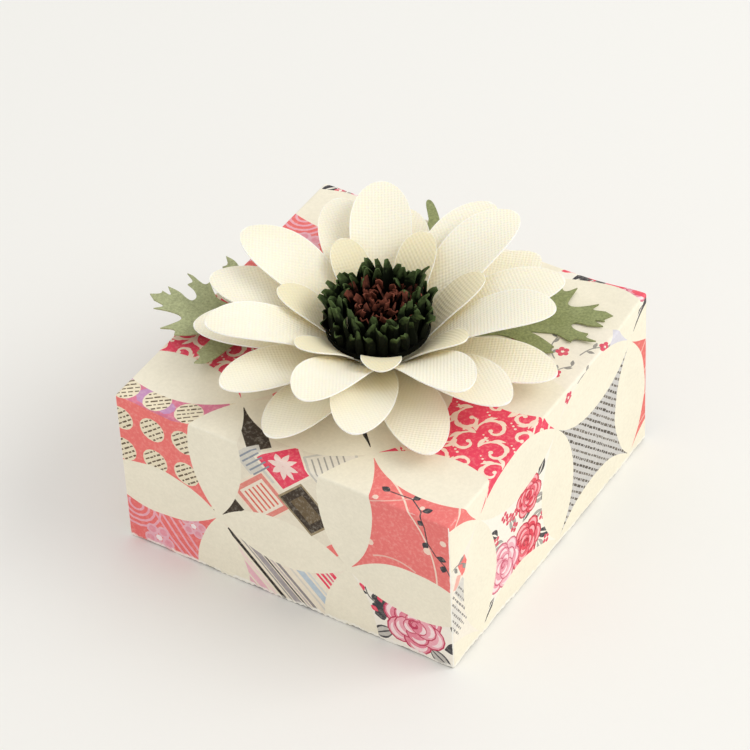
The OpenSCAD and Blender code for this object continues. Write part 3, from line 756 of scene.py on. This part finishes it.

# The second number is how strongly each leaf is painted paler towards its tip, as painted light
for name, tip_light_share, *values in (
        ("leaf_left", 0.7, 194, 46.2, 3.4, (basal(0.2, 0.84), right_lobes), (basal(-0.1, 1.07), left_lobes)),
        ("leaf_right", 0.0, 40, 43.3, 0.4, (basal(0, 0.55), right_lobes), (basal(0, 0.9), left_lobes)),
        ("leaf_back", 0.0, 104.8, 41.7, 3, plain_right, plain_left)):
    points, faces = leaf_shell(*values)
    leaf = skin(name + "_card", points, faces)
    # Painted light: the share of the paler green grows with the distance from the flower's middle
    tip_light_mask = tip_light_share * np.clip((np.hypot(points[:, 0], points[:, 1]) - tip_light_start) / tip_light_length, 0, 1)
    leaf.data.attributes.new("painted_tip_light", "FLOAT", "POINT").data.foreach_set("value", tip_light_mask.astype(np.float32))
    leaf.data.materials.append(leaf_card)
    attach(leaf, "lid")
    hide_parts(name)


# Petals: four rings of seven petals, each ring die-cut from one piece of canvas-embossed cream card. The
# petals are bent up at the middle and cupped, and the rings are glued one on another, turned to fill each
# other's gaps.

petals_each = 7
petal_rows = 1 - (1 - np.linspace(0, 1, 34)) ** 1.8
petal_rows[-1] = 0.9992
petal_columns = np.sin(np.linspace(-np.pi / 2, np.pi / 2, 13))
widest = 0.57
# How far petals differ from each other: bent aside, twisted and dipped
sway_most = 0.35
twist_most = 0.6
dip_most = 0.22


def card_faces(count, rows, cols):
    """Faces of closed sheets, each a grid of upper points; all the lower points follow all the upper ones."""
    n = rows * cols
    sheets = np.arange(count)[:, None]
    cell = (np.arange(rows - 1)[:, None] * cols + np.arange(cols - 1)).ravel()
    cell = (sheets * n + cell).ravel()
    upper = np.stack([cell, cell + cols, cell + cols + 1, cell + 1], 1)
    grid = np.arange(n).reshape(rows, cols)
    border = np.concatenate([grid[0], grid[1:, -1], grid[-1, -2::-1], grid[-2:0:-1, 0]])
    a = sheets * n + border
    b = np.roll(a, -1, 1).ravel()
    a = a.ravel()
    lower = count * n
    return [upper, upper[:, ::-1] + lower, np.stack([a, b, b + lower, a + lower], 1)]


def petal_ring(turn, leans, tip_r, tip_height, shares, base_z, w, root_w, arch, cup, seed):
    """Seven closed petals and a flat middle. The half width swells by a quarter sine and closes nearly as
    an ellipse; the height rises as 1 - (1 - u)^arch; the sides turn up most at the middle of the length.
    Twist, sideways bend and dip differ a little from petal to petal."""
    draw = np.random.default_rng(seed)
    u = petal_rows[None, :, None]
    s = petal_columns[None, None, :]
    swelling = root_w / 2 + (w - root_w) / 2 * np.sin(np.pi / 2 * np.minimum(u / widest, 1))
    closing = w / 2 * np.maximum(1 - (np.maximum(u - widest, 0) / (1 - widest)) ** 2.1, 0) ** 0.57
    half = np.where(u < widest, swelling, closing)
    twist, sway, dip = draw.uniform(-1, 1, (3, petals_each, 1, 1))
    arch = np.broadcast_to(arch, petals_each)[:, None, None]
    face_z = base_z + card
    rise = lid_top + tip_height * np.array(shares)[:, None, None] - face_z
    root_x = np.sqrt(hub_r ** 2 - (root_w / 2 * s) ** 2) - 0.6 * (u == 0)
    x = root_x + (tip_r - root_x) * u
    side = half * s + sway_most * sway * u * u
    z = face_z + rise * (1 - (1 - u) ** arch) + cup * half * np.abs(s) ** 1.6 * u * (1 - u) ** 1.2
    z = z + twist_most * twist * s * np.sin(np.pi * u) * half / w
    z = z + dip_most * dip * np.sin(2 * np.pi * u) * u
    slope = np.arctan2(rise * arch * (1 - u) ** (arch - 1), tip_r - hub_r) * (u > 0)
    angle = np.radians(turn + np.array(leans) + np.arange(petals_each) * 360 / petals_each)[:, None, None]
    c, d = np.cos(angle), np.sin(angle)
    upper = np.stack(np.broadcast_arrays(x * c - side * d, x * d + side * c, z), 3)
    lower = upper - (card / np.cos(slope) * np.ones_like(z))[..., None] * [0, 0, 1]
    faces = card_faces(petals_each, len(petal_rows), len(petal_columns))
    cloth = turned(upper[..., :2].reshape(-1, 2), -turn)
    round_edge = disc(0, 0, hub_r, 48)
    n = len(round_edge)
    middle_z = face_z - 0.01
    middle = np.vstack([np.insert(round_edge, 2, middle_z, 1), np.insert(round_edge, 2, base_z, 1),
                        [[0, 0, middle_z], [0, 0, base_z]]])
    j = np.arange(n)
    after = np.roll(j, -1)
    over = np.stack([0 * j + 2 * n, j, after], 1)
    under = np.stack([0 * j + 2 * n + 1, n + after, n + j], 1)
    m = 2 * len(cloth)
    faces.append(m + np.stack([j, n + j, n + after, after], 1))
    faces.append(m + np.vstack([over, under]))
    # The cut sides are white card; the faces' outer strips and tips are whitened too, as a painted highlight
    edge_white_and_highlight = np.zeros((petals_each, len(petal_rows) - 1, len(petal_columns) - 1))
    edge_white_and_highlight[:, :, [0, -1]] = 0.6
    edge_white_and_highlight[:, -3:] = 0.6
    cut = np.concatenate([edge_white_and_highlight.ravel()] + [np.full(len(f), k == 1) for k, f in enumerate(faces[1:])])
    cloth = np.vstack([cloth, cloth, middle[:, :2]])
    return np.vstack([upper.reshape(-1, 3), lower.reshape(-1, 3), middle]), faces, cut, cloth


# Cream card pressed with a fine canvas weave, drawn at 0.62 mm from rib to rib, with painted shade in the
# weave's hollows and a clean white cut edge, widened onto the face by a painted highlight. It is painted
# yellower towards the middle of the flower, as warm painted shade where the petals face each other, and
# light shines a little through it. The small petals' card is painted a deeper cream, as painted shade.
rib_pitch = 0.62
# The wave node runs through 20 radians a unit
wave_node_scale = 2 * math.pi / 20 / rib_pitch
petal_cards = []
# The second card is the same cream painted deeper, as painted shade on the small petals in the flower's
# middle
for name, bright, deep in (
        ("canvas_card", "#fcf7e6", "#f8f0d8"), ("shaded_inner_canvas_card", "#f3ebce", "#ebe1bc")):
    petal_card, tree = blank_material(name)
    weave = add_node(tree, "UVMap", uv_map="weave")
    place = add_node(tree, "TexCoord").outputs["Object"]
    cut_edge = add_node(tree, "Attribute", attribute_name="cut").outputs["Fac"]
    wavy = {"Vector": weave, "Scale": wave_node_scale, "Distortion": 0.7, "Detail": 2.0, "Detail Scale": 2.0}
    ribs = add_node(tree, "TexWave", wavy, bands_direction="Y").outputs["Fac"]
    picks = add_node(tree, "TexWave", wavy, bands_direction="X").outputs["Fac"]
    cloth = add_node(tree, "Math", {0: picks, 1: ribs}, operation="ADD")
    cloud = add_node(tree, "TexNoise", {"Vector": place, "Scale": 1 / 0.01, "Detail": 2.0})
    tint = add_node(tree, "Mix", {0: cloud, 6: linear(bright), 7: linear(deep)}, data_type="RGBA")
    # Painted shade: the colour darkens a little in the hollows of the pressed weave
    painted_weave_shade = add_node(tree, "MapRange", {
        "Value": cloth, "From Min": 0.2, "From Max": 1.8, "To Min": 0.955, "To Max": 1.01})
    level = add_node(tree, "VectorMath", {0: place, 1: (1, 1, 0)}, operation="MULTIPLY")
    radius = add_node(tree, "VectorMath", {0: level}, operation="LENGTH")
    # Painted warm shade: the card turns yellower towards the middle of the flower, where the petals face each
    # other
    inner = add_node(tree, "MapRange", {
        "Value": radius, "From Min": 0.009, "From Max": 0.023, "To Min": 0.6, "To Max": 0.0})
    painted_warm_shade = add_node(tree, "Mix", {0: inner, 6: tint, 7: linear("#ecdfb8")}, data_type="RGBA")
    woven = add_node(tree, "Mix", {0: 1.0, 6: painted_warm_shade, 7: painted_weave_shade}, data_type="RGBA", blend_type="MULTIPLY")
    # White on the cut sides, and on the faces' edge strips as a painted highlight
    edged = add_node(tree, "Mix", {0: cut_edge, 6: woven, 7: linear("#fffdf4")}, data_type="RGBA")
    grain = add_node(tree, "Bump", {"Height": cloth, "Strength": 0.3, "Distance": 0.0001})
    shader = add_node(tree, "BsdfPrincipled", {
        "Base Color": edged, "Roughness": 0.7, "Specular IOR Level": 0.3, "Normal": grain,
        "Subsurface Weight": 0.2, "Subsurface Radius": (1.0, 0.75, 0.4), "Subsurface Scale": 0.0006})
    add_node(tree, "OutputMaterial", {"Surface": shader})
    petal_cards.append(petal_card)

# From the lowest ring up: how it is turned, how far each petal leans out of step, how far and how high the
# tips reach, and each petal's share of that height
# The small petals take the deeper cream card, as painted shade
large_card, shaded_small_card = petal_cards
large = dict(w=11.8, root_w=5.2, arch=1.7, cup=0.7)
small = dict(w=7.5, root_w=5.4, arch=[1.6, 1.4, 1.4, 2.05, 1.4, 1.4, 1.6], cup=0.35)
ring_base = lid_top + card
for k, (name, petal_card, form, turn, leans, tip_r, tip_height, shares) in enumerate((
        ("petals_bottom", large_card, large, 111, [3.5, 0.5, -3.5, 0.5, -0.5, -1.5, 4.5], 35.1, 4.8,
         [0.98, 1, 1.16, 0.84, 0.78, 1.04, 1.1]),
        ("petals_middle", large_card, large, 139, [-2, 0.5, 2, 0.5, -1.5, 6, -3], 34.5, 8.9,
         [0.99, 0.89, 0.83, 1.03, 0.93, 1.11, 1.28]),
        ("petals_top", large_card, large, 122, [0.5, 0, 0, 1, 1.5, -1.5, 0.5], 32.9, 13.6,
         [0.96, 0.92, 0.94, 1.01, 1.06, 1.07, 1.04]),
        ("petals_inner", shaded_small_card, small, 147, [-1.5, 0, 1.5, 0, 0, 2, 0], 19.8, 11.4,
         [0.98, 0.96, 1.0, 0.98, 1.02, 1.07, 1.1]))):
    points, faces, cut, cloth = petal_ring(
        turn, leans, tip_r, tip_height, shares, ring_base + k * card, seed=k + 1, **form)
    petals = skin(name + "_card", points, faces)
    petals.data.attributes.new("cut", "FLOAT", "FACE").data.foreach_set("value", cut.astype(np.float32))
    cloth = cloth[np.concatenate([f.ravel() for f in faces])]
    petals.data.uv_layers.new(name="weave").data.foreach_set("uv", cloth.astype(np.float32).ravel())
    petals.data.materials.append(petal_card)
    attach(petals, "lid")
    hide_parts(name)


# Fringed middle: a dark green strip and a brown one, each cut into blades along one edge, rolled up and
# glued upright on the inner petals. The green blades are drawn to points and curled, the brown ones left
# square and crumpled.

roll_z = ring_base + 4 * card
strip = 0.25
roll_middle = np.array([-0.5, -0.34, 0])
roll_pitch = 0.9
blade_rows = 13
hook_start = 0.55
growth_share = 0.45
# How far blades differ from each other, for a ruffle of 1: in degrees of lean at root and tip and of twist,
# in shares of their length, and in sway
root_spread = 8
tip_spread = 10
twist_spread = 30
length_spread = 0.06
sway_spread = 0.8


def fringed_roll(r, turns, begin, foot, band_h, blades, blade_l, growth, outer_lean, inner_lean, widths,
                 hook, ruffle, seed):
    """A strip wound inwards, its radius falling by a pitch each turn: an uncut band, and closed blades whose
    lean runs from root to tip with a hook near the end. Each blade is folded along its middle, twists as it
    rises, and differs from the next in lean, hook, length, sway and twist."""
    draw = np.random.default_rng(seed)
    length = turns * (2 * np.pi * r - np.pi * turns * roll_pitch)

    def wound_angle(at):
        return (r - np.sqrt(r * r - roll_pitch * at / np.pi)) * 2 * np.pi / roll_pitch

    def wall_r(angle):
        return r - roll_pitch * angle / (2 * np.pi)

    share = ((np.arange(blades) + 0.43) / blades)[:, None, None]
    angle = wound_angle(share * length)
    t = np.linspace(0, 1, blade_rows)[None, :, None]
    s = np.linspace(-1, 1, 5)[None, None, :]
    uneven = draw.normal(0, 1, (6, blades, 1, 1)).clip(-1.8, 1.8)
    lean_root = outer_lean[0] + (inner_lean[0] - outer_lean[0]) * share + root_spread * ruffle * uneven[0]
    lean_tip = outer_lean[1] + (inner_lean[1] - outer_lean[1]) * share + tip_spread * ruffle * uneven[1]
    hooked = (hook[0] + hook[1] * uneven[2]) * np.clip((t - hook_start) / (1 - hook_start), 0, 1) ** 1.5
    lean = np.radians(lean_tip + (lean_root - lean_tip) * (1 - t) ** 2.4 + hooked)
    grown = np.interp(share, [0, growth_share], growth) + length_spread * ruffle * uneven[3]
    step = blade_l * grown / (blade_rows - 1)
    start = np.zeros((blades, 1, 1))
    out, up = (np.concatenate([start, np.cumsum((part[:, 1:] + part[:, :-1]) / 2 * step, 1)], 1)
               for part in (np.sin(lean), np.cos(lean)))
    half = length / blades / 2 * np.interp(t, np.linspace(0, 1, len(widths)), widths)
    twist = np.radians(twist_spread * ruffle * uneven[4]) * t
    across = half * s
    aside = across * np.cos(twist) + sway_spread * ruffle * uneven[5] * t ** 3
    inward = across * np.sin(twist) + 0.75 * half * np.abs(s) ** 1.3

    def placed(depth):
        o = wall_r(angle) + out - (inward + depth) * np.cos(lean)
        z = foot + band_h + up + (inward + depth) * np.sin(lean)
        c, d = np.cos(angle + begin), np.sin(angle + begin)
        return np.stack(np.broadcast_arrays(o * c - aside * d, o * d + aside * c, z), 3).reshape(-1, 3)

    faces = [f[:, ::-1] for f in card_faces(blades, blade_rows, s.size)]
    sweep = wound_angle(np.linspace(0, length * 0.999, 40 * math.ceil(turns)))
    wall = wall_r(sweep)
    top = foot + band_h + 0.3
    ends = [np.stack([q * np.cos(sweep + begin), q * np.sin(sweep + begin), np.full_like(q, z)], 1)
            for q, z in ((wall, foot), (wall, top), (wall - strip, top), (wall - strip, foot))]
    n = 2 * blades * blade_rows * s.size
    c = len(sweep)
    j = np.arange(c - 1)
    for p, q in ((0, 1), (1, 2), (2, 3), (3, 0)):
        faces.append(n + np.stack([p * c + j, p * c + j + 1, q * c + j + 1, q * c + j], 1))
    faces.append(n + np.array([[0, c, 2 * c, 3 * c], [c - 1, 4 * c - 1, 3 * c - 1, 2 * c - 1]]))
    height = np.broadcast_to(t, (blades, blade_rows, s.size)).ravel()
    points = np.vstack([placed(0.0), placed(strip)] + ends) + roll_middle
    return points, faces, np.concatenate([height, height, np.zeros(4 * c)])


pointed = (0.8, 0.8, 0.82, 0.88, 0.92, 0.92, 0.85, 0.68, 0.35)
square = (0.7, 0.75, 0.72, 0.78, 0.72)
green_form = dict(
    r=10.0, turns=3.1, begin=3.6, foot=roll_z + 3.2, band_h=0.9, blades=72, blade_l=7.7, growth=(0.6, 1),
    outer_lean=(16, 2), inner_lean=(6, -6), widths=pointed, hook=(16, 34), ruffle=1.1, seed=17)
brown_form = dict(
    r=5.5, turns=5.2, begin=0.0, foot=roll_z, band_h=3.6, blades=54, blade_l=6.5, growth=(1, 0.95),
    outer_lean=(14, 6), inner_lean=(4, 4), widths=square, hook=(-6, 50), ruffle=1.4, seed=12)
# Thin paper dyed through, with painted shade and a painted highlight: darker towards the roots, where little
# light reaches, paler on the curled tips where light falls
for colour, form, dark, middle, lit_tip_colour in (
        ("green", green_form, "#040603", "#10160a", "#506138"),
        ("brown", brown_form, "#050101", "#120504", "#7c4535")):
    painted_shade_strip, tree = blank_material(colour + "_strip_paper")
    place = add_node(tree, "TexCoord").outputs["Object"]
    height = add_node(tree, "Attribute", attribute_name="height").outputs["Fac"]
    fleck = add_node(tree, "TexNoise", {"Vector": place, "Scale": 1 / 0.0009, "Detail": 3.0})
    lifted = add_node(tree, "Math", {0: fleck, 1: -0.5}, operation="ADD")
    spread = add_node(tree, "Math", {0: lifted, 1: 0.5, 2: height}, operation="MULTIPLY_ADD")
    # Painted shade at the roots and a painted highlight on the tips, by height along each blade
    painted_shade_ramp = add_node(tree, "ValToRGB", {"Fac": spread})
    painted_shade_ramp.color_ramp.elements[0].color = linear(dark)
    painted_shade_ramp.color_ramp.elements[1].color = linear(lit_tip_colour)
    painted_shade_ramp.color_ramp.elements.new(0.72).color = linear(middle)
    grain = add_node(tree, "Bump", {"Height": fleck, "Strength": 0.4, "Distance": 0.0002})
    shader = add_node(tree, "BsdfPrincipled", {
        "Base Color": painted_shade_ramp, "Roughness": 0.65, "Specular IOR Level": 0.1, "Normal": grain})
    add_node(tree, "OutputMaterial", {"Surface": shader})
    points, faces, tall = fringed_roll(**form)
    roll = skin(colour + "_fringe_roll", points, faces)
    roll.data.attributes.new("height", "FLOAT", "POINT").data.foreach_set("value", tall.astype(np.float32))
    roll.data.materials.append(painted_shade_strip)
    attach(roll, "lid")
    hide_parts("fringe_" + colour)


# Stage: a white sheet of paper under soft window light from the right and a little behind, seen from the
# photo's side.

floor_half = 3000
floor_points = np.array([[-1, -1, 0], [1, -1, 0], [1, 1, 0], [-1, 1, 0]]) * floor_half
floor = skin("floor", floor_points, [np.array([[0, 1, 2, 3]])])
white_paper, tree = blank_material("white_paper")
shader = add_node(tree, "BsdfPrincipled", {
    "Base Color": linear("#eeede9"), "Roughness": 0.9, "Specular IOR Level": 0.1})
add_node(tree, "OutputMaterial", {"Surface": shader})
floor.data.materials.append(white_paper)

# The room lights the box evenly; past the floor's edge the eye meets a slightly paler backdrop
world = bpy.data.worlds.new("soft_room")
bpy.context.scene.world = world
world.use_nodes = True
tree = world.node_tree
tree.nodes.clear()
rays = add_node(tree, "LightPath").outputs
seen = add_node(tree, "Math", {0: rays["Is Camera Ray"], 1: rays["Is Glossy Ray"]}, operation="MAXIMUM")
seen = add_node(tree, "Math", {0: seen, 1: rays["Is Transmission Ray"]}, operation="MAXIMUM")
room = add_node(tree, "Background", {"Color": linear("#fdfcfb"), "Strength": 0.86})
backdrop = add_node(tree, "Background", {"Color": linear("#f3f2ec"), "Strength": 1.0})
both = add_node(tree, "MixShader", {0: seen, 1: room, 2: backdrop})
add_node(tree, "OutputWorld", {"Surface": both})


def direction(bearing, height):
    """A unit vector from its bearing, counted from +X, and its height over the table, in degrees."""
    level = math.cos(math.radians(height))
    across, along = math.cos(math.radians(bearing)), math.sin(math.radians(bearing))
    return Vector((across * level, along * level, math.sin(math.radians(height))))


window = bpy.data.objects.new("window", bpy.data.lights.new("window", "AREA"))
window.data.shape = "RECTANGLE"
window.data.size = 0.85
window.data.size_y = 0.7
window.data.energy = 6.5
window.data.color = (0.99, 1.0, 0.98)
window_away = 1.3
toward = direction(25, 43)
window.location = toward * window_away
window.rotation_euler = toward.to_track_quat("Z", "Y").to_euler()
bpy.context.scene.collection.objects.link(window)

# The camera was fitted to the box's corners in the photo: distances are in lid widths
azimuth, elevation, tilt = 34.09, 41.26, math.radians(-3.06)
focal_px = 3731
photo_px = 750
sensor = 36
back = direction(azimuth - 90, elevation)
level = direction(azimuth, 0)
upright = back.cross(level)
right = math.cos(tilt) * level + math.sin(tilt) * upright
up = math.cos(tilt) * upright - math.sin(tilt) * level
spot = (Vector((0, 0, 0.2)) - 0.034 * right + 0.146 * up + 9.834 * back) * lid_w * 0.001
camera = bpy.data.objects.new("camera", bpy.data.cameras.new("camera"))
camera.data.lens = focal_px / photo_px * sensor
camera.data.sensor_width = sensor
camera.matrix_world = Matrix.Translation(spot) @ Matrix((right, up, back)).transposed().to_4x4()
bpy.context.scene.collection.objects.link(camera)
bpy.context.scene.camera = camera
bpy.context.scene.view_settings.view_transform = "Standard"
